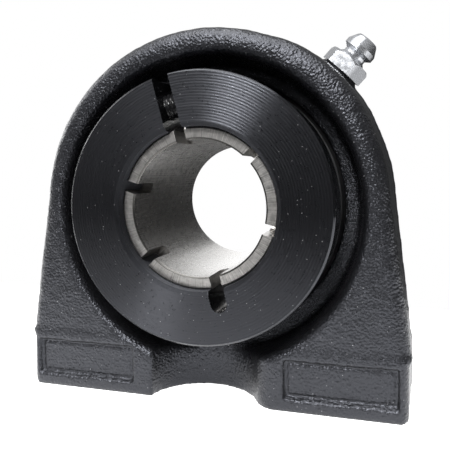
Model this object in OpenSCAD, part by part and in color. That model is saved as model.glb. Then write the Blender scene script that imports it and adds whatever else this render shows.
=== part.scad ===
// Tapped-base pillow block with a self-aligning ball bearing insert and a split locking collar.
// Millimetres. The base stands on z = 0, the shaft axis runs along Y, the collar faces -Y.

/* [Bearing insert] */
// Diameter of the bore for the shaft
bore_d = 25; // [22:0.1:28]
// Wall of the inner ring between the bore and the bottom of the ball track
inner_wall = 3; // [2.6:0.1:4]
// Diameter of the balls
ball_d = 7.938; // [7:0.001:9]
// Number of balls
ball_count = 9; // [7:1:9]
// Wall of the outer ring between the ball track and the spherical outside
outer_wall = 2.5; // [2.2:0.1:4]
// Width of the outer ring
outer_ring_w = 17; // [16:0.5:20]
// How far the rear end of the inner ring stands out of the outer ring
inner_rear = 5.8; // [4.5:0.1:9.5]
// How far the slotted front end of the inner ring stands out of the outer ring
inner_front = 11.3; // [10.5:0.1:14.5]
// Wall of the slotted front end of the inner ring
slotted_wall = 2.3; // [1.8:0.1:2.6]
// Number of slots in the front end of the inner ring
slot_count = 6; // [4:2:8]
// Width of one slot
slot_w = 2; // [1.5:0.1:2.5]
// Depth of one slot from the front end
slot_depth = 8; // [6:0.5:8.5]
// Direction of the first slot, from the right and counter-clockwise
slot_angle = 104; // [0:1:180]
// Sheet thickness of the seal shields, the slingers and the cage
sheet = 0.7; // [0.5:0.05:0.8]

/* [Locking collar] */
// Radial thickness of the collar
collar_wall = 9.75; // [9:0.05:11]
// Width of the collar along the shaft
collar_w = 11; // [10:0.5:14]
// How far the collar stands proud of the inner ring
collar_proud = 2.2; // [1:0.1:3]
// Width of the split through the collar
split_w = 3.1; // [2:0.1:4]
// Direction of the split, from the right and counter-clockwise
split_angle = 105; // [0:1:180]
// Width of the relief slot opposite the split
relief_w = 3; // [2:0.1:4]
// Radial depth of the relief slot from the collar's bore
relief_depth = 4; // [3:0.1:5]
// Thread diameter of the clamp screw
clamp_screw_d = 4.8; // [4:0.1:5]
// Head diameter of the clamp screw
clamp_head_d = 7.2; // [7:0.1:7.6]
// Head height of the clamp screw
clamp_head_h = 2.8; // [2:0.1:3]

/* [Housing] */
// Height of the shaft axis above the base
shaft_height = 36.5; // [35:0.1:42]
// Length of the base across the two feet
base_length = 75; // [74:0.5:84]
// Depth of the housing from the front of the feet to the rear
housing_depth = 35; // [33:0.5:40]
// Height of the upright sides of the feet
foot_h = 11; // [10:0.5:13]
// How far the feet stand proud of the arch's sides and faces
foot_step = 0.15; // [0.1:0.05:0.6]
// Width of the cast rim between the recess and the outside of the arch
rim_w = 6; // [5.4:0.1:8]
// Room between the collar and the wall of the recess
collar_room = 3.6; // [3.5:0.1:5]
// Width of the spherical seat
seat_w = 15.4; // [14:0.1:16]
// Casting draft of the outer sides, in degrees
draft = 3.5; // [2:0.5:4]
// Rounding of the arch's front and rear edges
rim_round = 2.6; // [2:0.1:3]
// Rounding of the upright edges of the feet
foot_round = 1.8; // [1:0.1:2]
// Rounding of the recess's outer lip
lip_round = 2; // [1:0.1:2.2]
// Rounding of the recess's floor corner
recess_fillet = 1.3; // [0.6:0.1:1.4]
// How far the cast recess lies below the shaft axis
recess_drop = 0.6; // [0:0.1:0.8]
// Height of the parting line along the middle of the casting
parting_h = 0.25; // [0.1:0.05:0.4]
// Width of the parting line
parting_w = 1.2; // [0.8:0.1:2]
// Radius of the hollow between the feet, front and rear
waist_r = 10.3; // [9:0.1:11]
// Rounding where one side of each hollow runs out into the face of the foot
waist_round = 4.5; // [3:0.1:5]
// Thickness of the web that is left between the two hollows
waist_web = 16; // [15.8:0.1:20]
// Distance from the middle to the near end of the right panel
right_panel_start = 15; // [14:0.1:17]
// Distance from the middle to the near end of the left panel
left_panel_start = 14.2; // [14:0.1:17]
// Distance from the middle to the far end of both panels
panel_end = 35; // [31:0.1:35]
// Height of a recessed panel
panel_h = 7.1; // [5:0.1:8]
// Height of a panel's lower edge above the base
panel_z = 2.3; // [1.5:0.1:4]
// Depth of a recessed panel
panel_depth = 0.9; // [0.3:0.1:1]
// Distance between the two tapped holes in the base
bolt_spacing = 50.8; // [48:0.1:54]
// Drilled diameter of the tapped holes
bolt_hole_d = 8.5; // [7:0.1:9]
// Depth of the tapped holes
bolt_hole_depth = 14; // [10:0.5:15]

/* [Grease fitting] */
// Direction of the grease fitting, from the right and counter-clockwise
fitting_angle = 47.5; // [40:0.5:60]
// Place of the grease fitting in front of the ball plane
fitting_offset = 2.6; // [1.8:0.1:3]
// How far the cast boss under the fitting stands out of the arch
boss_rise = 0.7; // [0.4:0.1:1]
// Distance across the flats of the fitting's hexagon
hex_flats = 7.9; // [7:0.1:9]
// Height of the hexagon
hex_h = 2.8; // [2:0.1:4]
// How far the hexagon is turned when the fitting is tight
hex_turn = 25; // [0:1:59]
// Thread diameter of the fitting
fitting_thread_d = 6; // [5.4:0.1:6.4]
// Length of the fitting's thread
fitting_thread_l = 5.2; // [4:0.1:5.4]
// Diameter of the fitting's head
nipple_d = 6.4; // [5.8:0.1:7]
// Height of the fitting above its hexagon
nipple_h = 4.8; // [4.4:0.1:6]
// Diameter of the check ball in the fitting
check_ball_d = 2.4; // [2:0.1:2.6]
// Wire diameter of the check spring
spring_wire = 0.36; // [0.3:0.02:0.4]

/* [Clearances] */
// Gap between each ball and the bottom of its tracks
race_gap = 0.04; // [0.02:0.01:0.08]
// Gap between each ball and its cage pocket
pocket_gap = 0.1; // [0.06:0.01:0.1]
// Gap between the spherical seat and the outer ring
seat_gap = 0.03; // [0.01:0.01:0.08]
// Gap of pieces that are pressed or clamped on
press_gap = 0.01; // [0.01:0.01:0.03]
// Gap between the seal lips and the inner ring
lip_gap = 0.05; // [0.02:0.01:0.1]
// Gap around the anti-rotation pin
pin_gap = 0.04; // [0.02:0.01:0.1]
// Gap around the clamp screw and the thread of the grease fitting
thread_gap = 0.05; // [0.02:0.01:0.1]

/* [Hidden] */
$fn = 96;
arc_steps = 8;
over = 1;

// Radii of the bearing insert, from the bore outwards
bore_r = bore_d / 2;
ball_r = ball_d / 2;
inner_track_r = bore_r + inner_wall;
pitch_r = inner_track_r + race_gap + ball_r;
outer_track_r = pitch_r + ball_r + race_gap;
outer_ring_r = outer_track_r + outer_wall;
track_share = 0.516;
track_r = track_share * ball_d;
land_share = 0.2;
land_depth = land_share * ball_d;
shoulder_r = inner_track_r + land_depth;
land_r = outer_track_r - land_depth;
half_outer = outer_ring_w / 2;
rear_end = half_outer + inner_rear;
front_end = half_outer + inner_front;
ring_edge = 0.4;
bore_edge = 0.25;

// Seals: a pressed shield in the outer ring and a rubber lip on the inner ring
seal_step = 0.5;
seal_seat_r = outer_track_r - seal_step;
seal_pocket = 2.5;
seal_floor = half_outer - seal_pocket;
shield_face = half_outer - sheet;
lip_w = 1.4;
lip_flange = 0.8;
lip_back = 0.7;
lip_front = 0.2;
lip_land = 0.6;
slinger_rim_room = 1.5;
slinger_rim_r = seal_seat_r - slinger_rim_room;
slinger_room = 0.5;
slinger_face = half_outer + slinger_room;
slinger_l = 1.5;

// Cage: two pressed halves held by rivets between the balls
cage_margin = 0.5;
cage_in_r = shoulder_r + cage_margin;
cage_out_r = land_r - cage_margin;
pocket_r = ball_r + pocket_gap;
ball_step = 360 / ball_count;
rivet_r = 0.6;
rivet_head_r = 1.1;
rivet_head_h = 0.5;

// Anti-rotation pin: it sits in the outer ring and runs in a groove of the housing
pin_r = 1.25;
pin_hole_floor = 0.7;
pin_proud = 1.6;
pin_in_r = outer_track_r + pin_hole_floor + pin_gap;
pin_out_r = outer_ring_r + pin_proud;
pin_end_room = 0.4;
swivel_max = 2.5;
pin_swing = pin_out_r * sin(swivel_max);

// Locking collar on the slotted end of the inner ring
slotted_r = bore_r + slotted_wall;
collar_front = front_end + collar_proud;
collar_rear = collar_front - collar_w;
collar_gap = 0.2;
shoulder_front = collar_rear - collar_gap;
collar_in_r = slotted_r + press_gap;
collar_r = collar_in_r + collar_wall;
collar_edge = 0.35;
collar_bore_edge = 0.6;
clamp_share = 0.49;
clamp_r = collar_in_r + clamp_share * collar_wall;
clamp_s = (collar_front + collar_rear) / 2;
clamp_head_r = clamp_head_d / 2;
clamp_head_top = sqrt(pow(collar_r, 2) - pow(clamp_r + clamp_head_r, 2));
clamp_seat = clamp_head_top - clamp_head_h;
clamp_reach = 9;
clamp_pocket_room = 0.4;
clamp_socket_flats = 3;

// Housing: the outside follows the recess, the recess follows the collar
half_depth = housing_depth / 2;
seat_shelf = 0.8;
recess_r = max(collar_r + collar_room, outer_ring_r + recess_fillet + seat_shelf);
recess_floor = seat_w / 2;
recess_draft = 0.5;
arch_r = recess_r + rim_w;
seat_r = outer_ring_r + seat_gap;
arch_half_depth = half_depth - foot_step;
side_inset = 0.05;
side_past_middle = 8;
side_half = base_length / 2 - foot_step;
side_reach = norm([side_half, foot_h - shaft_height]);
side_lean = atan2(foot_h - shaft_height, side_half) + acos(arch_r / side_reach);
side_l = sqrt(pow(side_reach, 2) - pow(arch_r, 2)) + foot_h;
base_corner = 1.5;
waist_rise = 1;
waist_top = shaft_height - recess_drop - sqrt(pow(recess_r, 2) - pow(waist_r, 2)) + waist_rise;
notch_room = 0.3;
notch_w = outer_ring_w + 2 * notch_room;
notch_step = 0.1;
notch_r = seat_r + notch_step;
drill_tip = 118;
drill_flat_r = 0.4;

// Grease way: fitting, drilled hole, groove and holes in the outer ring
boss_share = 0.82;
boss_inset = 0.15;
boss_r = boss_share * arch_r;
fitting_stand_off = 0.3;
fitting_base_r = arch_r + boss_rise + fitting_stand_off;
grease_hole_r = 1.5;
grease_groove_w = 5.4;
grease_groove_depth = 0.6;
grease_groove_shift = 0.9;
grease_groove_s = fitting_offset + grease_groove_shift;
ring_hole_r = 0.7;
ring_hole_shift = 0.4;
ring_hole_s = (track_r + seal_floor) / 2 - ring_hole_shift;
check_ball_r = check_ball_d / 2;
chamber_gap = 0.06;
chamber_r = check_ball_r + chamber_gap;
orifice_share = 0.63;
orifice_r = orifice_share * check_ball_r;
tip_wall = 0.9;
tip_r = 2;
tip_edge = 0.3;
neck_r = 2.3;
neck_flare = 0.6;
neck_land = 0.2;
hex_face_step = 0.05;
fitting_h = hex_h + nipple_h;
chamber_top = fitting_h - tip_wall;
check_gap = 0.05;
check_z = chamber_top - sqrt(pow(check_ball_r, 2) - pow(orifice_r, 2)) - check_gap;
spring_room = 0.05;
chamber_end = 1.2;
chamber_floor = chamber_end - fitting_thread_l;
spring_low = chamber_floor + spring_wire / 2;
spring_high = check_z - check_ball_r - spring_wire / 2 - spring_room;
spring_r = chamber_r - spring_wire / 2 - spring_room;
spring_turns = 6;
spring_steps = 12;
spring_sides = 6;

black_paint = [0.17, 0.17, 0.18];
black_oxide = [0.12, 0.12, 0.13];
ground_steel = [0.72, 0.71, 0.68];
sheet_steel = [0.62, 0.62, 0.6];
zinc = [0.8, 0.81, 0.83];
rubber_black = [0.05, 0.05, 0.05];

ball_nodes = [for (i = [1:ball_count]) str("ball_", i)];

// Points of an arc from angle a0 to a1 about the centre c
function arc(c, r, a0, a1, steps = arc_steps) =
    [for (i = [0:steps])
        let (a = a0 + (a1 - a0) * i / steps)
        [c[0] + r * cos(a), c[1] + r * sin(a)]];

// Right half of a cast section: drafted sides, rounded edges and the parting line at the middle
function cast_side(reach, edge, depth) =
    let (centre_x = reach - (edge + (depth - edge) * sin(draft)) / cos(draft),
         centre_y = depth - edge,
         ridge_foot = reach - parting_w / 2 * tan(draft))
    concat(
        arc([centre_x, -centre_y], edge, -90, -draft),
        [[ridge_foot, -parting_w / 2], [reach + parting_h, -parting_w / 4],
         [reach + parting_h, parting_w / 4], [ridge_foot, parting_w / 2]],
        arc([centre_x, centre_y], edge, draft, 90));

// Puts a piece built along +Z onto the shaft axis, with +Z towards the front
module on_shaft() {
    translate([0, 0, shaft_height]) rotate([90, 0, 0]) children();
}

// Turns a piece built along +Z to point outwards in the given direction around the shaft
module outwards(angle, along = 0) {
    on_shaft() translate([0, 0, along]) rotate([0, 0, angle]) rotate([0, 90, 0]) children();
}

// Copies a piece to the place of every ball
module at_balls() {
    for (i = [0:ball_count - 1]) {
        rotate([0, 0, 90 + i * ball_step]) translate([pitch_r, 0, 0]) children();
    }
}

// Housing

module rim_section(reach, inner, inset = 0) {
    depth = arch_half_depth - inset;
    polygon(concat([[inner, -depth]], cast_side(reach, rim_round, depth), [[inner, depth]]));
}

// Arch that runs on almost tangentially into two leaning sides, which end in the feet
module arch_and_sides() {
    rotate_extrude() rim_section(arch_r, 0);
    intersection() {
        for (side = [0, 1]) {
            mirror([side, 0, 0]) rotate([0, 0, side_lean]) rotate([90, 0, 0])
                linear_extrude(side_l) rim_section(arch_r - side_inset, -side_past_middle, side_inset);
        }
        translate([-base_length, foot_h - over - shaft_height, -housing_depth])
            cube([2 * base_length, shaft_height + 2 * arch_r, 2 * housing_depth]);
    }
}

// Low swelling of the arch that carries the grease fitting, rounder than the arch itself
module fitting_boss() {
    rotate([0, 0, fitting_angle]) translate([arch_r + boss_rise - boss_r, 0, 0])
        rotate_extrude() rim_section(boss_r, 0, boss_inset);
}

// Base with upright drafted sides and rounded lower corners
module feet() {
    right = cast_side(base_length / 2, foot_round, half_depth);
    left = [for (i = [len(right) - 1:-1:0]) [-right[i][0], right[i][1]]];
    reach = base_length / 2 + parting_h;
    corner = reach - base_corner;
    intersection() {
        linear_extrude(foot_h) polygon(concat(right, left));
        rotate([90, 0, 0]) linear_extrude(2 * housing_depth, center = true)
            polygon(concat(
                arc([corner, base_corner], base_corner, -90, 0),
                [[reach, foot_h + over], [-reach, foot_h + over]],
                arc([-corner, base_corner], base_corner, 180, 270)));
    }
}

// Recess on one side of the seat, with a rounded floor corner and lip
module recess_cut() {
    wall_top = half_depth - lip_round;
    wall_r = recess_r + recess_draft;
    translate([0, -recess_drop, 0]) rotate_extrude()
        polygon(concat(
            [[0, recess_floor]],
            arc([recess_r - recess_fillet, recess_floor + recess_fillet], recess_fillet, -90, 0),
            arc([wall_r + lip_round, wall_top], lip_round, 180, 90),
            [[wall_r + lip_round, half_depth + over], [0, half_depth + over]]));
}

// Two notches through which the insert is turned into its seat, and the groove of the pin
module loading_notches() {
    intersection() {
        translate([0, 0, -recess_floor - over]) cylinder(h = recess_floor + over, r = notch_r);
        cube([2 * arch_r, notch_w, 2 * half_depth], center = true);
    }
    groove_w = 2 * (pin_r + pin_gap);
    groove_front = pin_r + pin_swing + pin_end_room;
    translate([land_r, -groove_w / 2, -recess_floor - over])
        cube([pin_out_r + pin_end_room - land_r, groove_w, recess_floor + over + groove_front]);
}

module tapped_hole() {
    r = bolt_hole_d / 2;
    translate([0, 0, -over]) cylinder(h = bolt_hole_depth + over, r = r);
    translate([0, 0, bolt_hole_depth])
        cylinder(h = (r - drill_flat_r) / tan(drill_tip / 2), r1 = r, r2 = drill_flat_r);
}

module panel_cut(start) {
    translate([start, -half_depth - over, panel_z])
        cube([panel_end - start, panel_depth + over, panel_h]);
}

// Hollow between the feet, one side with a crisp edge and the other rounded over into the face
module waist_cut() {
    stand_off = waist_web / 2 + waist_r - half_depth;
    round_y = stand_off + waist_round;
    round_x = sqrt(pow(waist_r + waist_round, 2) - pow(round_y, 2));
    turn = atan2(round_y, round_x);
    translate([0, -half_depth - stand_off, -over]) linear_extrude(waist_top + over)
        polygon(concat(
            arc([0, 0], waist_r, 180, turn, 3 * arc_steps),
            arc([round_x, round_y], waist_round, 180 + turn, 270),
            [[round_x, stand_off - over], [-waist_r, stand_off - over]]));
}

module housing() {
    color(black_paint) difference() {
        union() {
            on_shaft() {
                arch_and_sides();
                fitting_boss();
            }
            feet();
        }
        on_shaft() {
            recess_cut();
            mirror([0, 0, 1]) recess_cut();
            sphere(r = seat_r);
            loading_notches();
        }
        for (side = [0, 1]) {
            rotate([0, 0, 180 * side]) waist_cut();
            mirror([side, 0, 0]) translate([bolt_spacing / 2, 0, 0]) tapped_hole();
            mirror([side, 0, 0]) panel_cut([right_panel_start, left_panel_start][side]);
        }
        outwards(fitting_angle, fitting_offset) {
            translate([0, 0, pitch_r]) cylinder(h = arch_r - pitch_r, r = grease_hole_r);
            translate([0, 0, fitting_base_r - fitting_thread_l - thread_gap])
                cylinder(h = fitting_thread_l + over, r = fitting_thread_d / 2 + thread_gap);
        }
    }
}

// Grease fitting with its check valve

module fitting_axis() {
    outwards(fitting_angle, fitting_offset) translate([0, 0, fitting_base_r]) children();
}

// Turned body above the hexagon: neck, bulged head and flat tip
module nipple() {
    nipple_r = nipple_d / 2;
    flare_r = neck_r + neck_flare;
    flare_z = hex_h + neck_land;
    neck_top = hex_h + 0.28 * nipple_h;
    bulge_low = hex_h + 0.42 * nipple_h;
    bulge_high = hex_h + 0.62 * nipple_h;
    rotate_extrude()
        polygon([
            [0, 0], [flare_r, 0], [flare_r, flare_z], [neck_r, flare_z + neck_flare],
            [neck_r, neck_top], [nipple_r, bulge_low], [nipple_r, bulge_high],
            [tip_r + tip_edge, fitting_h - tip_edge], [tip_r, fitting_h], [0, fitting_h]]);
}

module grease_fitting() {
    color(zinc) fitting_axis() difference() {
        union() {
            translate([0, 0, -fitting_thread_l])
                cylinder(h = fitting_thread_l + over, r = fitting_thread_d / 2);
            intersection() {
                rotate([0, 0, hex_turn]) cylinder(h = hex_h, d = hex_flats / cos(30), $fn = 6);
                cylinder(h = hex_h, r1 = hex_flats / 2 + hex_h, r2 = hex_flats / 2 + hex_face_step);
            }
            nipple();
        }
        translate([0, 0, -fitting_thread_l - over])
            cylinder(h = fitting_h + fitting_thread_l + 2 * over, r = orifice_r);
        translate([0, 0, chamber_floor])
            cylinder(h = chamber_top - chamber_floor, r = chamber_r);
    }
}

module grease_check_ball() {
    color(ground_steel) fitting_axis() translate([0, 0, check_z]) sphere(r = check_ball_r);
}

// Coil of round wire, swept along a helix
module grease_check_spring() {
    rings = spring_turns * spring_steps;
    wire_r = spring_wire / 2;
    points = [for (i = [0:rings], k = [0:spring_sides - 1])
        let (turn = i * 360 / spring_steps, side = k * 360 / spring_sides,
             reach = spring_r + wire_r * cos(side))
        [reach * cos(turn), reach * sin(turn),
         spring_low + (spring_high - spring_low) * i / rings + wire_r * sin(side)]];
    walls = [for (i = [0:rings - 1], k = [0:spring_sides - 1])
        let (a = i * spring_sides + k, b = i * spring_sides + (k + 1) % spring_sides)
        each [[a, a + spring_sides, b + spring_sides], [a, b + spring_sides, b]]];
    start = [for (k = [0:spring_sides - 1]) k];
    end = [for (k = [spring_sides - 1:-1:0]) rings * spring_sides + k];
    color(ground_steel) fitting_axis()
        polyhedron(points = points, faces = concat(walls, [start, end]), convexity = 8);
}

// Bearing insert

module anti_rotation_pin() {
    color(ground_steel) outwards(0) translate([0, 0, pin_in_r])
        cylinder(h = pin_out_r - pin_in_r, r = pin_r);
}

module outer_ring() {
    color(ground_steel) on_shaft() difference() {
        intersection() {
            sphere(r = outer_ring_r);
            cylinder(h = outer_ring_w, r = 2 * outer_ring_r, center = true);
        }
        rotate_extrude() {
            translate([0, -half_outer - over]) square([land_r, outer_ring_w + 2 * over]);
            translate([outer_track_r - track_r, 0]) circle(r = track_r);
            for (side = [0, 1]) {
                mirror([0, side]) translate([pitch_r, seal_floor])
                    square([seal_seat_r - pitch_r, seal_pocket + over]);
            }
        }
        rotate_extrude()
            translate([outer_ring_r - grease_groove_depth, grease_groove_s - grease_groove_w / 2])
                square([grease_groove_depth + over, grease_groove_w]);
        for (turn = [0, 180]) {
            rotate([0, 0, fitting_angle + 90 + turn]) translate([pitch_r, 0, ring_hole_s])
                rotate([0, 90, 0]) cylinder(h = outer_ring_r - pitch_r + over, r = ring_hole_r);
        }
        translate([pin_in_r - pin_gap, 0, 0]) rotate([0, 90, 0])
            cylinder(h = outer_wall + over, r = pin_r + pin_gap);
    }
}

// Pressed shield: a flat ring with a rim that grips the outer ring
module seal_shield() {
    rim_r = seal_seat_r - press_gap;
    bore = shoulder_r + lip_w;
    color(sheet_steel) rotate_extrude()
        polygon([
            [bore, shield_face - sheet], [rim_r - sheet, shield_face - sheet],
            [rim_r - sheet, seal_floor + press_gap], [rim_r, seal_floor + press_gap],
            [rim_r, shield_face], [bore, shield_face]]);
}

// Rubber lip held by the bore of the shield, running on the inner ring
module seal_lip() {
    back = shield_face - sheet - press_gap;
    hold_r = shoulder_r + lip_w - press_gap;
    run_r = shoulder_r + lip_gap;
    front = shield_face + lip_front;
    color(rubber_black) rotate_extrude()
        polygon([
            [hold_r + lip_flange, back - lip_back], [hold_r + lip_flange, back], [hold_r, back],
            [hold_r, shield_face], [run_r, front], [run_r, front - lip_land],
            [run_r + lip_land, back - lip_back]]);
}

// Flinger pressed onto the inner ring outside the seal
module slinger() {
    bore = shoulder_r + press_gap;
    color(sheet_steel) rotate_extrude()
        polygon([
            [bore, slinger_face], [slinger_rim_r, slinger_face], [slinger_rim_r, slinger_face + sheet],
            [bore + sheet, slinger_face + sheet], [bore + sheet, slinger_face + slinger_l],
            [bore, slinger_face + slinger_l]]);
}

module front_seal_shield() { on_shaft() seal_shield(); }
module rear_seal_shield() { on_shaft() mirror([0, 0, 1]) seal_shield(); }
module front_seal_lip() { on_shaft() seal_lip(); }
module rear_seal_lip() { on_shaft() mirror([0, 0, 1]) seal_lip(); }
module front_slinger() { on_shaft() slinger(); }
module rear_slinger() { on_shaft() mirror([0, 0, 1]) slinger(); }

// Radial slot with a round inner end, open at the front of the inner ring
module end_slot() {
    rotate([90, 0, 90]) linear_extrude(slotted_r + over) {
        translate([0, front_end - slot_depth + slot_w / 2]) circle(d = slot_w);
        translate([-slot_w / 2, front_end - slot_depth + slot_w / 2]) square([slot_w, slot_depth]);
    }
}

module inner_ring() {
    color(ground_steel) on_shaft() difference() {
        rotate_extrude() difference() {
            polygon([
                [bore_r, bore_edge - rear_end], [bore_r + bore_edge, -rear_end],
                [shoulder_r - ring_edge, -rear_end], [shoulder_r, ring_edge - rear_end],
                [shoulder_r, shoulder_front - ring_edge], [shoulder_r - ring_edge, shoulder_front],
                [slotted_r, shoulder_front], [slotted_r, front_end - ring_edge],
                [slotted_r - ring_edge, front_end], [bore_r + bore_edge, front_end],
                [bore_r, front_end - bore_edge]]);
            translate([inner_track_r + track_r, 0]) circle(r = track_r);
        }
        for (i = [0:slot_count - 1]) {
            rotate([0, 0, slot_angle + i * 360 / slot_count]) end_slot();
        }
    }
}

// Screw axis: +Z runs along the screw, across the split, towards its head
module clamp_axis() {
    on_shaft() rotate([0, 0, split_angle]) translate([clamp_r, 0, clamp_s]) rotate([90, 0, 0])
        children();
}

module locking_collar() {
    color(black_oxide) difference() {
        on_shaft() difference() {
            rotate_extrude()
                polygon([
                    [collar_in_r, collar_rear], [collar_r - collar_edge, collar_rear],
                    [collar_r, collar_rear + collar_edge], [collar_r, collar_front - collar_edge],
                    [collar_r - collar_edge, collar_front],
                    [collar_in_r + collar_bore_edge, collar_front],
                    [collar_in_r, collar_front - collar_bore_edge]]);
            rotate([0, 0, split_angle]) translate([0, -split_w / 2, 0])
                cube([2 * collar_r, split_w, 2 * collar_front]);
            rotate([0, 0, split_angle + 180]) linear_extrude(2 * collar_front) {
                translate([0, -relief_w / 2]) square([collar_in_r + relief_depth - relief_w / 2, relief_w]);
                translate([collar_in_r + relief_depth - relief_w / 2, 0]) circle(d = relief_w);
            }
        }
        clamp_axis() {
            translate([0, 0, -clamp_reach - over])
                cylinder(h = clamp_reach + clamp_seat + 2 * over, r = clamp_screw_d / 2 + thread_gap);
            translate([0, 0, clamp_seat])
                cylinder(h = 2 * collar_r, r = clamp_head_r + clamp_pocket_room);
        }
    }
}

module clamp_screw() {
    color(black_oxide) clamp_axis() difference() {
        union() {
            translate([0, 0, -clamp_reach])
                cylinder(h = clamp_reach + clamp_seat + clamp_head_h / 8, d = clamp_screw_d);
            translate([0, 0, clamp_seat]) cylinder(h = clamp_head_h, r = clamp_head_r);
        }
        translate([0, 0, clamp_seat + clamp_head_h / 4])
            cylinder(h = clamp_head_h, d = clamp_socket_flats / cos(30), $fn = 6);
    }
}

// One pressed half of the cage, on the front side of the balls
module cage_half() {
    color(sheet_steel) difference() {
        intersection() {
            union() {
                cylinder(h = sheet, r = cage_out_r);
                at_balls() sphere(r = pocket_r + sheet);
            }
            difference() {
                cylinder(h = ball_d, r = cage_out_r);
                translate([0, 0, -over]) cylinder(h = ball_d + 2 * over, r = cage_in_r);
            }
        }
        at_balls() sphere(r = pocket_r);
        rotate([0, 0, ball_step / 2]) at_balls()
            translate([0, 0, -over]) cylinder(h = sheet + 2 * over, r = rivet_r + press_gap);
    }
}

module cage_front() { on_shaft() cage_half(); }
module cage_rear() { on_shaft() mirror([0, 0, 1]) cage_half(); }

module cage_rivets() {
    color(sheet_steel) on_shaft() rotate([0, 0, ball_step / 2]) at_balls() {
        cylinder(h = 2 * sheet, r = rivet_r, center = true);
        for (side = [0, 1]) {
            mirror([0, 0, side]) translate([0, 0, sheet]) cylinder(h = rivet_head_h, r = rivet_head_r);
        }
    }
}

// Ball number i, counted from the top
module ball(i) {
    color(ground_steel) on_shaft() rotate([0, 0, 90 + (i - 1) * ball_step])
        translate([pitch_r, 0, 0]) sphere(r = ball_r);
}

housing();
grease_fitting();
grease_check_ball();
grease_check_spring();
anti_rotation_pin();
outer_ring();
front_seal_shield();
front_seal_lip();
rear_seal_shield();
rear_seal_lip();
inner_ring();
front_slinger();
rear_slinger();
locking_collar();
clamp_screw();
cage_front();
cage_rear();
cage_rivets();
for (i = [1:ball_count]) {
    ball(i);
}
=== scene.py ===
"""Looks of the pillow block bearing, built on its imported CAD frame. Metres; X right, Y away, Z up."""
import itertools
import math

import bmesh
import bpy
import numpy as np
from mathutils import Euler, Matrix


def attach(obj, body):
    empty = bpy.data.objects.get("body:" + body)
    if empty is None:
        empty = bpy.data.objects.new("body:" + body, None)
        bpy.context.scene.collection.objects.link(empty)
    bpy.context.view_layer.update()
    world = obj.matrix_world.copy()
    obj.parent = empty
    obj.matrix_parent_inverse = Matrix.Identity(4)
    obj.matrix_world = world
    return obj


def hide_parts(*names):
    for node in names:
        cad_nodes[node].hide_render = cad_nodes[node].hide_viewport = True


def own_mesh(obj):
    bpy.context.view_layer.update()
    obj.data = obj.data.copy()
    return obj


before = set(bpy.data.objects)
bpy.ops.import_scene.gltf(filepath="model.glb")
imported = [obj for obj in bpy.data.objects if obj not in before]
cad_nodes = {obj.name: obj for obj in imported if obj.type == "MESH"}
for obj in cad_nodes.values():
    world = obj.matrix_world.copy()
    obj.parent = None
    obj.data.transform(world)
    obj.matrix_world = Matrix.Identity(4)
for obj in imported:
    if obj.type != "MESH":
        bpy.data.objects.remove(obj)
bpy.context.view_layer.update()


# Housing
# One sand casting of grey iron: an arch over the insert on two feet, each with a bare recessed panel.
# Black enamel covers the pebbled cast skin; only the seat inside and the underside are machined.
SHAFT_AXIS = np.array([0.0, 0.0, 0.0365])
SEAT_RADIUS, SEAT_HALF_WIDTH = 0.02605, 0.0077
SKIN_CELL = 0.00052
FOOT_TOP = 0.011
LATTICE_SIDE = 61
COARSE_GRAIN, COARSE_DEPTH = 0.0021, 0.00005
PEBBLE_GRAIN, PEBBLE_DEPTH = 0.0009, 0.00005
RECESS_AXIS_HEIGHT, WEB_EDGE_ROUNDS = 0.0359, 30
FOOT_FACE, PANEL_DEPTH, PANEL_CORNER = -0.0175, 0.0009, 0.0005
PANEL_LOW, PANEL_HIGH, PANEL_END = 0.0023, 0.0094, 0.035
PANEL_STARTS = {1: 0.015, -1: 0.0142}
PANEL_OVERLAP = 0.0002
EDGE_GROOVE, EDGE_GRAIN, EDGE_WANDER = 0.0002, 0.0011, 0.00012
SIDE_SWELL = 0.0007
FITTING_ANGLE, FITTING_ALONG, FITTING_RISE = math.radians(47.5), -0.0026, 0.03516
FITTING_AXIS = np.array([math.cos(FITTING_ANGLE), 0.0, math.sin(FITTING_ANGLE)])
PAD_RADIUS, PAD_EDGE, PAD_REACH, PAD_GAP = 0.0037, 0.0046, 0.0016, 0.00006
ENAMEL_GLOSS = (0.86, 0.89, 1.0, 1.0)
DRIFT_SIZE, BUMP_SIZE, FINE_SIZE, CLOUD_SIZE = 0.0016, 0.0005, 0.00025, 0.006
ENAMEL_SPECK_CELL, SPECK_SHARE, SPECK_CORE, SPECK_EDGE = 0.00085, 0.7, 0.06, 0.12
ENAMEL_RELIEF = 0.00016
NOISE_LOW, NOISE_HIGH = 0.3, 0.7


def lattice_noise(points, size, seed):
    """Random values from -1 to 1 on a cubic lattice of the given size, blended by 3t^2 - 2t^3."""
    table = np.random.default_rng(seed).uniform(-1.0, 1.0, (LATTICE_SIDE, LATTICE_SIDE, LATTICE_SIDE))
    cell = points / size
    low = np.floor(cell).astype(int)
    blend = cell - low
    blend = blend * blend * (3.0 - 2.0 * blend)
    total = np.zeros(len(points))
    for corner in itertools.product((0, 1), repeat=3):
        weight = np.where(np.array(corner), blend, 1.0 - blend).prod(axis=1)
        total += weight * table[tuple(((low + corner) % LATTICE_SIDE).T)]
    return total


def ramp(values, start, end):
    """0 before start, 1 after end, and a smooth step between them."""
    t = np.clip((values - start) / (end - start), 0.0, 1.0)
    return t * t * (3.0 - 2.0 * t)


def in_scene(name, data):
    """A new object with this data, linked to the scene."""
    made = bpy.data.objects.new(name, data)
    bpy.context.scene.collection.objects.link(made)
    return made


def baked(piece):
    """The mesh of a piece with its modifiers worked in."""
    graph = bpy.context.evaluated_depsgraph_get()
    return bpy.data.meshes.new_from_object(piece.evaluated_get(graph))


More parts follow.
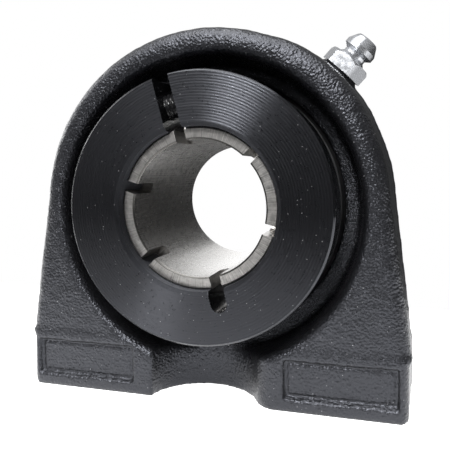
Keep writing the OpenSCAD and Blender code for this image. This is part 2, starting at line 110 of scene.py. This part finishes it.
def eased(points, edges, weight, rounds):
    """Each round moves every point towards the mean of its neighbours, by its own weight from 0 to 1."""
    ends, others = edges.ravel(), edges[:, ::-1].ravel()
    count = np.bincount(ends, minlength=len(points))[:, None]
    for _ in range(rounds):
        total = np.stack([np.bincount(ends, points[others, axis], len(points)) for axis in range(3)], axis=1)
        points = points + weight[:, None] * (total / count - points)
    return points


def vectors(source, field, kind=float, width=3):
    """A field of a mesh's vertices, normals or edges as one array, a row for each."""
    values = np.empty(len(source) * width, kind)
    source.foreach_get(field, values)
    return values.reshape(-1, width)


def inside_panels(points):
    """Depth inside the nearest panel's outline, negative outside: a rounded box's distance, turned about."""
    best = np.full(len(points), -1.0)
    for side, start in PANEL_STARTS.items():
        middle = np.array([side * (start + PANEL_END), PANEL_LOW + PANEL_HIGH]) / 2.0
        half = np.array([PANEL_END - start, PANEL_HIGH - PANEL_LOW]) / 2.0 - PANEL_CORNER
        out = np.abs(points[:, [0, 2]] - middle) - half
        gap = np.linalg.norm(np.maximum(out, 0.0), axis=1) + np.minimum(out.max(axis=1), 0.0)
        best = np.maximum(best, PANEL_CORNER - gap)
    return best


def filled_panels(mesh):
    """The mesh with a box set into each panel, flush with the foot, so that the skin over it starts flat."""
    corners = np.array(list(itertools.product((0, 1), repeat=3)))
    sides = np.array([[0, 1, 3, 2], [4, 6, 7, 5], [0, 4, 5, 1], [2, 3, 7, 6], [0, 2, 6, 4], [1, 5, 7, 3]])
    work = bmesh.new()
    work.from_mesh(mesh)
    for side, start in PANEL_STARTS.items():
        ends = sorted((side * (start - PANEL_OVERLAP), side * (PANEL_END + PANEL_OVERLAP)))
        low = np.array([ends[0], FOOT_FACE, PANEL_LOW - PANEL_OVERLAP])
        high = np.array([ends[1], FOOT_FACE + 2.0 * PANEL_DEPTH, PANEL_HIGH + PANEL_OVERLAP])
        made = [work.verts.new(place) for place in np.where(corners, high, low)]
        for loop in sides:
            work.faces.new([made[i] for i in loop])
    work.to_mesh(mesh)
    work.free()
    return mesh


def finer_face(mesh):
    """The same mesh with the faces of the feet around the panels cut into four."""
    points = vectors(mesh.vertices, "co")
    near = (points[:, 1] < FOOT_FACE + 0.0003) & (inside_panels(points) > -0.0012)
    edges = np.flatnonzero(near[vectors(mesh.edges, "vertices", int, 2)].all(axis=1))
    work = bmesh.new()
    work.from_mesh(mesh)
    work.edges.ensure_lookup_table()
    bmesh.ops.subdivide_edges(work, edges=[work.edges[i] for i in edges], cuts=1, use_grid_fill=True)
    work.to_mesh(mesh)
    work.free()


def cast_skin(node, name):
    """The node's solid cut into even cells, with its edges eased, then moved point by point.

    The sides swell outward above the feet, by a product of smooth steps. The skin moves along its normals by
    two sizes of lattice noise. The pad under the fitting is pressed to a plane and the seat to its sphere.
    Each panel is a smooth step of the depth inside its outline, with a shallow groove along the edge.
    """
    piece = in_scene(name, filled_panels(node.data.copy()))
    piece.modifiers.new("weld", "WELD").merge_threshold = 1e-6
    cells = piece.modifiers.new("cells", "REMESH")
    cells.mode, cells.voxel_size = "VOXEL", SKIN_CELL
    mesh = baked(piece)
    piece.modifiers.clear()
    piece.data = mesh

    finer_face(mesh)
    points, edges = vectors(mesh.vertices, "co"), vectors(mesh.edges, "vertices", int, 2)
    points = eased(points, edges, np.full(len(points), 0.5), 2)
    x, y, z = np.abs(points).T
    from_recess = np.hypot(points[:, 0], points[:, 2] - RECESS_AXIS_HEIGHT)
    # The edges of the web between the feet, picked out by smooth steps in height, width, depth and radius.
    web_edge = (ramp(-z, -0.0105, -0.009) * ramp(z, 0.0035, 0.005) * ramp(-x, -0.0105, -0.008)
                * ramp(-y, -0.017, -0.014) * ramp(y, 0.0066, 0.0072) * ramp(from_recess, 0.0255, 0.0262))
    points = eased(points, edges, 0.5 * web_edge, WEB_EDGE_ROUNDS)
    # The flanks of the arch just above the feet, towards the front.
    swell = (ramp(x, 0.029, 0.034) * ramp(-points[:, 1], 0.008, 0.015)
             * ramp(z, FOOT_TOP - 0.0015, FOOT_TOP + 0.0005) * (1.0 - ramp(z, FOOT_TOP, 0.042)))
    points[:, 0] += SIDE_SWELL * np.sign(points[:, 0]) * swell
    mesh.vertices.foreach_set("co", points.ravel())
    mesh.update()
    normals = vectors(mesh.vertex_normals, "vector")

    from_centre = points - SHAFT_AXIS
    reach = np.linalg.norm(from_centre, axis=1)
    in_seat = (np.abs(points[:, 1]) < SEAT_HALF_WIDTH + 0.0002) & (reach < SEAT_RADIUS + 0.0006)
    cast = ramp(points[:, 2], 0.0003, 0.0015) * ~in_seat
    rough = 0.5 + 0.5 * ramp(points[:, 2], FOOT_TOP, FOOT_TOP + 0.006)
    lift = (COARSE_DEPTH * lattice_noise(points, COARSE_GRAIN, seed=3)
            + PEBBLE_DEPTH * lattice_noise(points, PEBBLE_GRAIN, seed=7))
    points += normals * (cast * rough * lift)[:, None]
    rise = from_centre @ FITTING_AXIS
    off_axis = (from_centre - rise[:, None] * FITTING_AXIS)[:, ::2]
    aside = np.hypot(points[:, 1] - FITTING_ALONG, np.linalg.norm(off_axis, axis=1))
    pad = (1.0 - ramp(aside, PAD_RADIUS, PAD_EDGE)) * (rise > FITTING_RISE - PAD_REACH)
    to_pad = FITTING_RISE - PAD_GAP - (points - SHAFT_AXIS) @ FITTING_AXIS
    points += (pad * to_pad)[:, None] * FITTING_AXIS
    points[in_seat] = SHAFT_AXIS + from_centre[in_seat] * ((SEAT_RADIUS + 0.0002) / reach[in_seat])[:, None]
    wander = EDGE_WANDER * lattice_noise(points, EDGE_GRAIN, seed=11)
    inside = np.where(points[:, 1] < FOOT_FACE + 0.0005, inside_panels(points) + wander, -1.0)
    points[:, 1] += PANEL_DEPTH * ramp(inside, -0.0002, 0.0004)
    points[:, 1] += EDGE_GROOVE * ramp(inside, 0.0002, 0.0005) * (1.0 - ramp(inside, 0.0006, 0.0011))
    points[points[:, 2] < 0.0002, 2] = 0.0
    mesh.vertices.foreach_set("co", points.ravel())
    mesh.polygons.foreach_set("use_smooth", np.ones(len(mesh.polygons), bool))
    mesh.update()
    return piece


def finish(name, colour, metallic, roughness):
    """A new material with one Principled shader; gives the material, its node tree and the shader."""
    material = bpy.data.materials.new(name)
    material.use_nodes = True
    tree = material.node_tree
    shader = tree.nodes["Principled BSDF"]
    shader.inputs["Base Color"].default_value = (*colour, 1.0)
    shader.inputs["Metallic"].default_value = metallic
    shader.inputs["Roughness"].default_value = roughness
    return material, tree, shader


def add(tree, kind, settings=None, **inputs):
    """A shader node of that kind. Inputs are named with _ for spaces: a socket is linked, a value is set."""
    node = tree.nodes.new("ShaderNode" + kind)
    for key, value in (settings or {}).items():
        setattr(node, key, value)
    for key, value in inputs.items():
        socket = node.inputs[int(key[1:])] if key[1:].isdigit() else node.inputs[key.replace("_", " ")]
        if isinstance(value, bpy.types.NodeSocket):
            tree.links.new(value, socket)
        else:
            socket.default_value = value
    return node


def object_place(tree):
    """The Object coordinates socket."""
    return add(tree, "TexCoord").outputs["Object"]


def grain(tree, place, size, detail=3.0, roughness=0.55):
    """Noise whose features are about the given size, in metres."""
    noise = add(tree, "TexNoise", Vector=place, Scale=1.0 / size, Detail=detail, Roughness=roughness)
    return noise.outputs["Fac"]


def span(tree, value, low, high, to_low, to_high):
    """Maps value from low..high to to_low..to_high, clamped."""
    return add(tree, "MapRange", Value=value, From_Min=low, From_Max=high,
               To_Min=to_low, To_Max=to_high).outputs["Result"]


def spread(tree, noise, to_low, to_high):
    """Maps the run that a noise mostly keeps to, NOISE_LOW..NOISE_HIGH, to to_low..to_high."""
    return span(tree, noise, NOISE_LOW, NOISE_HIGH, to_low, to_high)


def sum_of(tree, first, second, operation="ADD"):
    """Two values added, or joined by another operation."""
    return add(tree, "Math", {"operation": operation}, _0=first, _1=second).outputs["Value"]


def product(tree, first, second):
    """Two values multiplied."""
    return sum_of(tree, first, second, "MULTIPLY")


def around_shaft(tree, place):
    """Distance from the shaft axis, place along it and the separate coordinates from the axis."""
    centred = add(tree, "Mapping", Vector=place, Location=tuple(-SHAFT_AXIS)).outputs["Vector"]
    axes = add(tree, "SeparateXYZ", Vector=centred).outputs
    flat = add(tree, "CombineXYZ", X=axes["X"], Z=axes["Z"]).outputs["Vector"]
    return add(tree, "VectorMath", {"operation": "LENGTH"}, _0=flat).outputs["Value"], axes["Y"], axes


def dust_and_glints(tree, place, cell, share):
    """Light specks: a small ball round the points of a share of the cells, each with its own strength. On the
    collar they are dust; on the enamel they are partly dust and partly painted glints.
    """
    cells = add(tree, "TexVoronoi", Vector=place, Scale=1.0 / cell)
    pick = add(tree, "SeparateColor", Color=cells.outputs["Color"]).outputs["Red"]
    strength = span(tree, pick, 1.0 - share, 1.0, 0.0, 1.0)
    ball = span(tree, cells.outputs["Distance"], SPECK_CORE, SPECK_EDGE, 1.0, 0.0)
    return product(tree, ball, strength)


def tint(tree, value, dark, light):
    """A colour that runs from dark to light as value goes from 0 to 1; each end is a colour or a socket."""
    ends = [end if isinstance(end, bpy.types.NodeSocket) else (*end, 1.0) for end in (dark, light)]
    return add(tree, "Mix", {"data_type": "RGBA"}, _0=value, _6=ends[0], _7=ends[1]).outputs[2]


def paint(tree, shader, colour, roughness):
    """Links a colour and a roughness to the shader."""
    tree.links.new(colour, shader.inputs["Base Color"])
    tree.links.new(roughness, shader.inputs["Roughness"])


def relief(tree, shader, height, depth):
    """Bumps the shader's normal by a height of 0 to 1 that stands for the given depth in metres."""
    bump = add(tree, "Bump", Height=height, Distance=depth, Strength=1.0)
    tree.links.new(bump.outputs["Normal"], shader.inputs["Normal"])


def wear(material, *names):
    """Puts the finish on these CAD nodes."""
    for name in names:
        mesh = cad_nodes[name].data
        mesh.materials.clear()
        mesh.materials.append(material)


black_enamel, tree, shader = finish("black_enamel", (0.005, 0.005, 0.0055), 0.0, 0.3)
shader.inputs["Specular Tint"].default_value = ENAMEL_GLOSS
place = object_place(tree)
radius, along, axes = around_shaft(tree, place)
within = span(tree, radius, 0.0282, 0.029, 1.0, 0.0)
recess = product(tree, within, span(tree, along, -0.0168, -0.0155, 0.0, 1.0))
drift = grain(tree, place, DRIFT_SIZE, 2.0)
bumps = add(tree, "TexVoronoi", {"feature": "SMOOTH_F1"}, Vector=place, Scale=1.0 / BUMP_SIZE, Smoothness=0.4)
pebbles = span(tree, bumps.outputs["Distance"], 0.1, 0.75, 1.0, 0.0)
fine = grain(tree, place, FINE_SIZE, 2.0)
cloudy = grain(tree, place, CLOUD_SIZE, 2.0)
specks = dust_and_glints(tree, place, ENAMEL_SPECK_CELL, SPECK_SHARE)
# Painted glints: the light specks stand partly for dust and partly for the sparkle of the pebbled paint; full
# strength in the recess, 0.45 of it elsewhere.
dust_and_painted_glints = product(tree, specks, span(tree, recess, 0.0, 1.0, 0.45, 1.0))
coat = tint(tree, cloudy, (0.003, 0.003, 0.0034), (0.008, 0.008, 0.009))
gloss = sum_of(tree, spread(tree, fine, 0.26, 0.4), product(tree, recess, -0.1))
paint(tree, shader, tint(tree, dust_and_painted_glints, coat, (0.55, 0.55, 0.56)), gloss)
upward = span(tree, axes["Z"], -0.015, 0.015, 0.85, 1.0)
calm = product(tree, span(tree, drift, 0.35, 0.65, 0.3, 0.7), upward)
grit = product(tree, spread(tree, fine, 0.0, 0.2), span(tree, recess, 0.0, 1.0, 0.8, 3.6))
relief(tree, shader, sum_of(tree, product(tree, pebbles, calm), grit), ENAMEL_RELIEF)

casting = cast_skin(cad_nodes["housing"], "casting")
casting.data.materials.clear()
casting.data.materials.append(black_enamel)
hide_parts("housing")
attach(casting, "housing")


# Outer ring and its pin
# Hardened bearing steel with a thin dark oxide; the ring's outside is ground to a sphere, to fit its seat.
# The pin sits in the ring and keeps it from turning in the housing.
dark_steel, tree, shader = finish("dark_steel", (0.05, 0.05, 0.052), 0.6, 0.38)
place = object_place(tree)
oxide = grain(tree, place, 0.0012, 4.0, 0.6)
colour = tint(tree, oxide, (0.03, 0.03, 0.032), (0.07, 0.07, 0.072))
paint(tree, shader, colour, spread(tree, oxide, 0.3, 0.48))
relief(tree, shader, grain(tree, place, 0.0005), 0.00001)
wear(dark_steel, "outer_ring", "anti_rotation_pin")


# Balls
# Chromium steel, hardened, ground and lapped to a mirror; nine run loose between the raceways in the cage.
# The check ball in the grease fitting is a small one of the same make, pressed shut by its spring.
lapped_steel, tree, shader = finish("lapped_steel", (0.62, 0.61, 0.6), 1.0, 0.1)
haze = grain(tree, object_place(tree), 0.002, 3.0)
colour = tint(tree, haze, (0.58, 0.57, 0.56), (0.66, 0.65, 0.64))
paint(tree, shader, colour, spread(tree, haze, 0.06, 0.14))
wear(lapped_steel, "grease_check_ball", *[f"ball_{i}" for i in range(1, 10)])


# Cage, seal shields and slingers
# Thin pressed steel sheet: the two cage halves are riveted between the balls, the shields are pressed
# into the outer ring, and the slingers turn with the inner ring outside them.
sheet_steel, tree, shader = finish("sheet_steel", (0.42, 0.42, 0.41), 1.0, 0.4)
place = object_place(tree)
mottle = grain(tree, place, 0.0015)
colour = tint(tree, mottle, (0.26, 0.26, 0.25), (0.42, 0.42, 0.41))
paint(tree, shader, colour, spread(tree, mottle, 0.32, 0.48))
relief(tree, shader, grain(tree, place, 0.0004), 0.00001)
wear(sheet_steel, "cage_front", "cage_rear", "cage_rivets", "front_seal_shield", "rear_seal_shield",
     "front_slinger", "rear_slinger")


# Seal lips
# Moulded black rubber, bonded to the bore of each shield and running on the inner ring.
# The moulding leaves a matt, finely pitted face.
rubber, tree, shader = finish("rubber", (0.02, 0.02, 0.02), 0.0, 0.65)
place = object_place(tree)
speckle = grain(tree, place, 0.0006)
colour = tint(tree, speckle, (0.014, 0.014, 0.014), (0.026, 0.026, 0.026))
paint(tree, shader, colour, spread(tree, speckle, 0.55, 0.75))
relief(tree, shader, speckle, 0.00002)
wear(rubber, "front_seal_lip", "rear_seal_lip")


# Inner ring
# Hardened steel ring, ground all over, with its front end slotted into springy fingers that the collar clamps
# onto the shaft. The end face carries fine handling marks, the bore the lines of the hone.
BORE_START, BORE_END = 0.01252, 0.0126


def line_noise(tree, value, scale, roughness):
    """Noise that changes along one value only, such as an angle or a feed."""
    noise = add(tree, "TexNoise", {"noise_dimensions": "1D"},
                W=value, Scale=scale, Detail=3.0, Roughness=roughness)
    return noise.outputs["Fac"]


ring_steel, tree, shader = finish("ring_steel", (0.36, 0.35, 0.33), 1.0, 0.3)
place = object_place(tree)
radius, along, axes = around_shaft(tree, place)
bearing = sum_of(tree, axes["Z"], axes["X"], "ARCTAN2")
brushed = line_noise(tree, bearing, 60.0, 0.7)
handled = grain(tree, place, 0.0011, 5.0, 0.65)
marks = sum_of(tree, product(tree, handled, 0.5), product(tree, brushed, 0.5))
# Painted shade: the front edge of the bore is coloured near black, a dark line where the face turns into the
# bore.
near_front = span(tree, along, -0.0196, -0.0195, 1.0, 0.0)
bore_edge_shade = product(tree, near_front, span(tree, radius, 0.01275, 0.01285, 1.0, 0.0))
# Painted shade: the bore's colour is halved against the end face, so the inside of the ring reads darker.
bore_shade = span(tree, radius, BORE_START, BORE_END, 0.5, 1.0)
shine = product(tree, spread(tree, marks, 0.0, 1.0), bore_shade)
bare = tint(tree, shine, (0.22, 0.214, 0.208), (0.72, 0.702, 0.68))
ground = span(tree, radius, BORE_START, BORE_END, 0.85, 1.0)
satin = product(tree, spread(tree, marks, 0.26, 0.4), ground)
paint(tree, shader, tint(tree, bore_edge_shade, bare, (0.075, 0.073, 0.069)), satin)
turned = add(tree, "Mapping", Vector=place, Scale=(1.0, 14.0, 1.0)).outputs["Vector"]
hone = grain(tree, turned, 0.0009, 3.0, 0.6)
relief(tree, shader, hone, 0.000008)
wear(ring_steel, "inner_ring")


# Locking collar
# Turned steel with a black oxide finish, split on one side and relieved opposite.
# The facing cut leaves concentric grooves on its front, and a little dust lies on the oil film.
GROOVE_PITCH, GROOVE_DRIFT, GROOVE_RELIEF = 0.0005, 0.0011, 0.00006
COLLAR_DUST_CELL = 0.0008
SPLIT_ANGLE, RELIEF_END = math.radians(105.0), 0.01725
black_oxide, tree, shader = finish("black_oxide", (0.003, 0.003, 0.0034), 0.0, 0.3)
shader.inputs["Specular Tint"].default_value = ENAMEL_GLOSS
shader.inputs["Specular IOR Level"].default_value = 0.5
place = object_place(tree)
radius, depth, axes = around_shaft(tree, place)
feed = sum_of(tree, radius, depth)
phase = product(tree, feed, 2.0 * math.pi / GROOVE_PITCH)
wave = span(tree, sum_of(tree, phase, 0.0, "SINE"), -1.0, 1.0, 0.0, 1.0)
uneven = line_noise(tree, feed, 1.0 / GROOVE_DRIFT, 0.5)
ridges = product(tree, wave, span(tree, uneven, 0.35, 0.65, 0.4, 0.7))
cut = sum_of(tree, ridges, product(tree, uneven, 0.2))
specks = dust_and_glints(tree, place, COLLAR_DUST_CELL, SPECK_SHARE)
film = tint(tree, specks, (0.003, 0.003, 0.0034), (0.22, 0.22, 0.23))
satin = spread(tree, grain(tree, place, 0.0006, 4.0, 0.75), 0.24, 0.46)
broken_edge = span(tree, radius, 0.0241, 0.0243, 1.0, 0.35)
across = sum_of(tree, product(tree, axes["X"], math.sin(SPLIT_ANGLE)),
                product(tree, axes["Z"], -math.cos(SPLIT_ANGLE)))
below = sum_of(tree, product(tree, axes["X"], -math.cos(SPLIT_ANGLE)),
               product(tree, axes["Z"], -math.sin(SPLIT_ANGLE)))
past_end = span(tree, below, RELIEF_END, RELIEF_END + 0.03, 0.0, 0.03)
off_slot = add(tree, "CombineXYZ", X=across, Y=past_end).outputs["Vector"]
off_slot = add(tree, "VectorMath", {"operation": "LENGTH"}, _0=off_slot).outputs["Value"]
slot_wall = span(tree, off_slot, 0.00156, 0.00158, 0.07, 1.0)
bore_break = span(tree, radius, 0.01545, 0.01548, 2.2, 1.0)
polish = product(tree, product(tree, slot_wall, bore_break), broken_edge)
paint(tree, shader, film, product(tree, satin, polish))
shader.inputs["Anisotropic"].default_value = 0.95
shader.inputs["Anisotropic Rotation"].default_value = 0.25
lay = add(tree, "Tangent", {"direction_type": "RADIAL", "axis": "Y"})
tree.links.new(lay.outputs["Tangent"], shader.inputs["Tangent"])
run_in = span(tree, axes["Z"], -0.012, 0.012, 0.4, 1.0)
relief(tree, shader, product(tree, cut, run_in), GROOVE_RELIEF)
wear(black_oxide, "locking_collar")


# Clamp screw
# Alloy steel cap screw with a rolled thread and a hexagon socket, finished in black oxide.
# It pulls the collar's split together, and its thread shows there.
THREAD_PITCH, THREAD_DEPTH = 0.0008, 0.0004
SHANK_RADIUS, HEAD_RADIUS, HEAD_HEIGHT, SOCKET_HALF_FLATS = 0.0024, 0.0036, 0.0028, 0.0015
TURN_STEPS, STEPS_PER_PITCH = 48, 8


def mesh_piece(name, points, faces):
    """A new piece from its points, three numbers a row, and the point numbers of each face."""
    mesh = bpy.data.meshes.new(name)
    mesh.from_pydata(points.tolist(), [], faces)
    mesh.update()
    return in_scene(name, mesh)


def revolved(name, points):
    """A closed mesh from rows of points around an axis; the first and last row are poles, single points."""
    rows, columns = points.shape[:2]
    index = np.arange(rows * columns).reshape(rows, columns)
    beside = np.roll(index, -1, axis=1)
    quads = np.stack([index[1:-2], beside[1:-2], beside[2:-1], index[2:-1]], axis=-1).reshape(-1, 4)
    start = np.stack([np.full(columns, index[0, 0]), beside[1], index[1]], axis=-1)
    end = np.stack([np.full(columns, index[-1, 0]), index[-2], beside[-2]], axis=-1)
    corners = np.concatenate([quads.ravel(), start.ravel(), end.ravel()])
    used, packed = np.unique(corners, return_inverse=True)
    split = quads.size
    faces = packed[:split].reshape(-1, 4).tolist() + packed[split:].reshape(-1, 3).tolist()
    return mesh_piece(name, points.reshape(-1, 3)[used], faces)


def cap_screw(name, node):
    """Rows of rings along the node's own axis: a threaded shank, a plain head and a socket.

    The shank's radius falls by a triangle wave of height and turn. The socket's radius is a hexagon's:
    half the flats over the cosine of the angle to a flat.
    """
    solid = vectors(node.data.vertices, "co")
    axis = np.array([math.sin(SPLIT_ANGLE), 0.0, -math.cos(SPLIT_ANGLE)])
    side, other = np.array([0.0, 1.0, 0.0]), np.array([math.cos(SPLIT_ANGLE), 0.0, math.sin(SPLIT_ANGLE)])
    spans = [(solid @ line).min() + (solid @ line).max() for line in (side, other)]
    middle = 0.5 * (spans[0] * side + spans[1] * other)
    tip, top = (solid @ axis).min(), (solid @ axis).max()
    seat = top - HEAD_HEIGHT
    thread = np.arange(tip + 0.0004, seat - 0.0008, THREAD_PITCH / STEPS_PER_PITCH)
    rows = ([(tip, 0.0, 0, 0), (tip, SHANK_RADIUS - 0.0006, 0, 0)]
            + [(height, SHANK_RADIUS, 1, 0) for height in thread]
            + [(seat - 0.0004, SHANK_RADIUS - 0.0001, 0, 0), (seat, SHANK_RADIUS - 0.0001, 0, 0),
               (seat, HEAD_RADIUS - 0.0001, 0, 0), (seat + 0.0001, HEAD_RADIUS, 0, 0),
               (top - 0.0004, HEAD_RADIUS, 0, 0), (top - 0.0001, HEAD_RADIUS - 0.0003, 0, 0),
               (top, HEAD_RADIUS - 0.0006, 0, 0), (top, SOCKET_HALF_FLATS + 0.00012, 0, 1),
               (top - 0.00012, SOCKET_HALF_FLATS, 0, 1), (top - 0.0019, SOCKET_HALF_FLATS, 0, 1),
               (top - 0.0022, 0.0, 0, 0)])
    height, radius, threaded, socket = (column[:, None] for column in np.array(rows, float).T)
    turn = np.linspace(0.0, 2.0 * math.pi, TURN_STEPS, endpoint=False)[None, :]
    from_flat = np.mod(turn + math.pi / 6.0, math.pi / 3.0) - math.pi / 6.0
    cycle = np.mod(height / THREAD_PITCH - turn / (2.0 * math.pi), 1.0)
    groove = threaded * THREAD_DEPTH * np.clip(1.25 * np.abs(2.0 * cycle - 1.0) - 0.125, 0.0, 1.0)
    reach = radius * np.where(socket > 0, 1.0 / np.cos(from_flat), 1.0) - groove
    ring = np.cos(turn)[..., None] * side + np.sin(turn)[..., None] * other
    points = middle + (height + 0.0 * turn)[..., None] * axis + reach[..., None] * ring
    return revolved(name, points)


screw_oxide, tree, shader = finish("screw_oxide", (0.006, 0.006, 0.0065), 0.0, 0.25)
place = object_place(tree)
worn = grain(tree, place, 0.0008, 4.0, 0.6)
colour = tint(tree, worn, (0.004, 0.004, 0.0045), (0.012, 0.012, 0.013))
paint(tree, shader, colour, spread(tree, worn, 0.16, 0.32))
screw = cap_screw("cap_screw", cad_nodes["clamp_screw"])
screw.data.materials.append(screw_oxide)
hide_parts("clamp_screw")
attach(screw, "rotor")


# Grease fitting and its check spring
# Turned steel nipple with a hexagon, zinc plated and screwed into the arch; a check ball closes its tip.
# A small coil of drawn spring wire holds the ball shut; in the real fitting it shortens as the ball is
# pressed in, and here it is built at one fixed length.
bright_zinc, tree, shader = finish("bright_zinc", (0.5, 0.51, 0.53), 0.8, 0.3)
place = object_place(tree)
plating = grain(tree, place, 0.0009)
_, _, axes = around_shaft(tree, place)
over_axis = sum_of(tree, product(tree, axes["X"], -math.sin(FITTING_ANGLE)),
                   product(tree, axes["Z"], math.cos(FITTING_ANGLE)))
# Painted shade: the fitting's side down and to the right, away from the lamps, is coloured darker than the
# rest.
painted_lit_side = span(tree, over_axis, -0.0026, -0.0014, 0.0, 1.0)
lit_zinc = tint(tree, plating, (0.34, 0.35, 0.37), (0.52, 0.53, 0.55))
zinc = tint(tree, painted_lit_side, (0.16, 0.164, 0.172), lit_zinc)
paint(tree, shader, zinc, spread(tree, plating, 0.2, 0.34))
relief(tree, shader, grain(tree, place, 0.0005), 0.00001)
wear(bright_zinc, "grease_fitting")

spring_wire, tree, shader = finish("spring_wire", (0.42, 0.42, 0.43), 1.0, 0.35)
drawn = grain(tree, object_place(tree), 0.0004)
colour = tint(tree, drawn, (0.36, 0.36, 0.37), (0.48, 0.48, 0.49))
paint(tree, shader, colour, spread(tree, drawn, 0.28, 0.42))
SPRING_LOW, SPRING_HIGH, SPRING_RADIUS, SPRING_TURNS = -0.00382, 0.004288, 0.00103, 6
STEPS_PER_TURN, WIRE_SIDES = 24, 10
WIRE_RADIUS, CHECK_TRAVEL = 0.00018, 0.0008


def coil(name, seat, axis):
    """A ring of wire along a helix: the centre line turns at the spring's radius and climbs evenly."""
    turn = np.linspace(0.0, 2.0 * math.pi * SPRING_TURNS, STEPS_PER_TURN * SPRING_TURNS + 1)
    climb = np.linspace(SPRING_LOW, SPRING_HIGH, turn.size)
    along_shaft = np.array([0.0, 1.0, 0.0])
    outwards = np.cos(turn)[:, None] * along_shaft + np.sin(turn)[:, None] * np.cross(axis, along_shaft)
    line = seat + SPRING_RADIUS * outwards + climb[:, None] * axis
    side = np.linspace(0.0, 2.0 * math.pi, WIRE_SIDES, endpoint=False)[None, :, None]
    rows = line[:, None] + WIRE_RADIUS * (np.cos(side) * axis + np.sin(side) * outwards[:, None])
    ends = np.repeat(line[[0, -1], None], side.size, axis=1)
    return revolved(name, np.concatenate([ends[:1], rows, ends[1:]]))


fitting_base = SHAFT_AXIS + np.array([0.0, FITTING_ALONG, 0.0]) + FITTING_RISE * FITTING_AXIS
spring = coil("check_spring", fitting_base, FITTING_AXIS)
spring.data.materials.append(spring_wire)
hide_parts("grease_check_spring")
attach(spring, "housing")
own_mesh(spring)


# Studio
# A pale glowing floor in a dim room, brighter overhead and on the left; the camera sees the room white.
# A small key box in front and a wide box overhead give most of the light. The other boxes and cards
# stand on the left and behind, and draw the edges.
ROOM_FRONT, ROOM_BACK, ROOM_TOP = 0.15, 0.09, 0.3
ROOM_LEFT_GAIN, ROOM_RIGHT_GAIN = 1.8, 0.65
FLOOR_HALF, FLOOR_FRONT, FLOOR_BACK, FLOOR_STEPS = 0.3, -0.088, 0.07, 13
FLOOR_GLOW = 0.95
WHITE = (1.0, 1.0, 1.0, 1.0)


def grid_mesh(name, points):
    """A mesh of quads over a grid of points, rows by columns by 3."""
    rows, columns = points.shape[:2]
    index = np.arange(rows * columns).reshape(rows, columns)
    quads = np.stack([index[:-1, :-1], index[:-1, 1:], index[1:, 1:], index[1:, :-1]], axis=-1)
    return mesh_piece(name, points.reshape(-1, 3), quads.reshape(-1, 4).tolist())


across, deep = np.meshgrid(np.linspace(-FLOOR_HALF, FLOOR_HALF, FLOOR_STEPS),
                           np.linspace(FLOOR_FRONT, FLOOR_BACK, FLOOR_STEPS))
floor = grid_mesh("floor", np.stack([across, deep, np.zeros_like(across)], axis=-1))
pale, tree, shader = finish("pale_floor", (0.86, 0.86, 0.86), 0.0, 0.6)
shader.inputs["Emission Color"].default_value = WHITE
shader.inputs["Emission Strength"].default_value = FLOOR_GLOW
floor.data.materials.append(pale)


def soft_box(name, place, target, size, watts):
    """A square area light of the given side at place, facing target."""
    lamp = bpy.data.lights.new(name, "AREA")
    lamp.shape, lamp.size, lamp.energy = "SQUARE", size, watts
    holder = in_scene(name, lamp)
    away = np.array(place) - np.array(target)
    flat_reach = math.hypot(away[0], away[1])
    holder.rotation_euler = (math.atan2(flat_reach, away[2]), 0.0, math.atan2(away[0], -away[1]))
    holder.location = place


soft_box("key_box", (-0.025, -0.44, 0.37), (0.0, 0.0, 0.04), 0.14, 2.9)
soft_box("fill_box", (-0.32, -0.3, 0.36), (0.0, 0.0, 0.05), 0.2, 0.28)
soft_box("top_box", (-0.04, -0.15, 0.48), (0.0, -0.05, 0.0), 0.44, 3.6)
soft_box("edge_card", (-0.45, 0.15, 0.28), (0.0, 0.0, 0.05), 0.22, 0.5)
soft_box("side_box", (-0.45, -0.05, 0.28), (0.0, 0.0, 0.04), 0.4, 0.2)
soft_box("left_card", (-0.5, 0.3, 0.1), (0.0, 0.0, 0.04), 0.25, 0.7)
soft_box("back_card", (-0.14, 0.6, 0.14), (0.0, 0.0, 0.04), 0.25, 0.4)

world = bpy.data.worlds.new("white_room")
bpy.context.scene.world = world
world.use_nodes = True
tree = world.node_tree
room = tree.nodes["Background"]
heading = add(tree, "SeparateXYZ", Vector=add(tree, "TexCoord").outputs["Generated"])
level = span(tree, heading.outputs["Y"], -0.3, 0.5, ROOM_FRONT, ROOM_BACK)
level = product(tree, level, span(tree, heading.outputs["X"], -0.6, 0.2, ROOM_LEFT_GAIN, ROOM_RIGHT_GAIN))
level = sum_of(tree, level, span(tree, heading.outputs["Z"], 0.2, 0.6, 0.0, ROOM_TOP))
tree.links.new(level, room.inputs["Strength"])
room.inputs["Color"].default_value = WHITE
backdrop = add(tree, "Background", Color=WHITE, Strength=1.0)
choice = add(tree, "MixShader", _0=add(tree, "LightPath").outputs["Is Camera Ray"],
             _1=room.outputs["Background"], _2=backdrop.outputs["Background"])
tree.links.new(choice.outputs["Shader"], tree.nodes["World Output"].inputs["Surface"])


# Camera
# Stands a little to the right, just above half height, about one and a half object widths away.
# Its place, turn, focal length and off-centre axis were fitted to the photo's edges.
IMAGE_SIDE, SENSOR = 450.0, 36.0
FOCAL_PIXELS, CENTRE_X, CENTRE_Y = 571.94, 210.51, 198.77
YAW, PITCH, ROLL = 0.2961, 0.0482, 0.0051
CAMERA_PLACE = (0.0322026, -0.1173854, 0.0431787)
camera_data = bpy.data.cameras.new("camera")
camera = in_scene("camera", camera_data)
camera.location = CAMERA_PLACE
facing = Euler((math.pi / 2.0 - PITCH, 0.0, YAW)).to_matrix() @ Matrix.Rotation(-ROLL, 3, "Z")
camera.rotation_euler = facing.to_euler()
camera_data.sensor_width = SENSOR
camera_data.lens = SENSOR * FOCAL_PIXELS / IMAGE_SIDE
camera_data.shift_x = (IMAGE_SIDE / 2.0 - CENTRE_X) / IMAGE_SIDE
camera_data.shift_y = (CENTRE_Y - IMAGE_SIDE / 2.0) / IMAGE_SIDE
camera_data.clip_start = 0.01
bpy.context.scene.camera = camera
bpy.context.scene.view_settings.view_transform = "Standard"
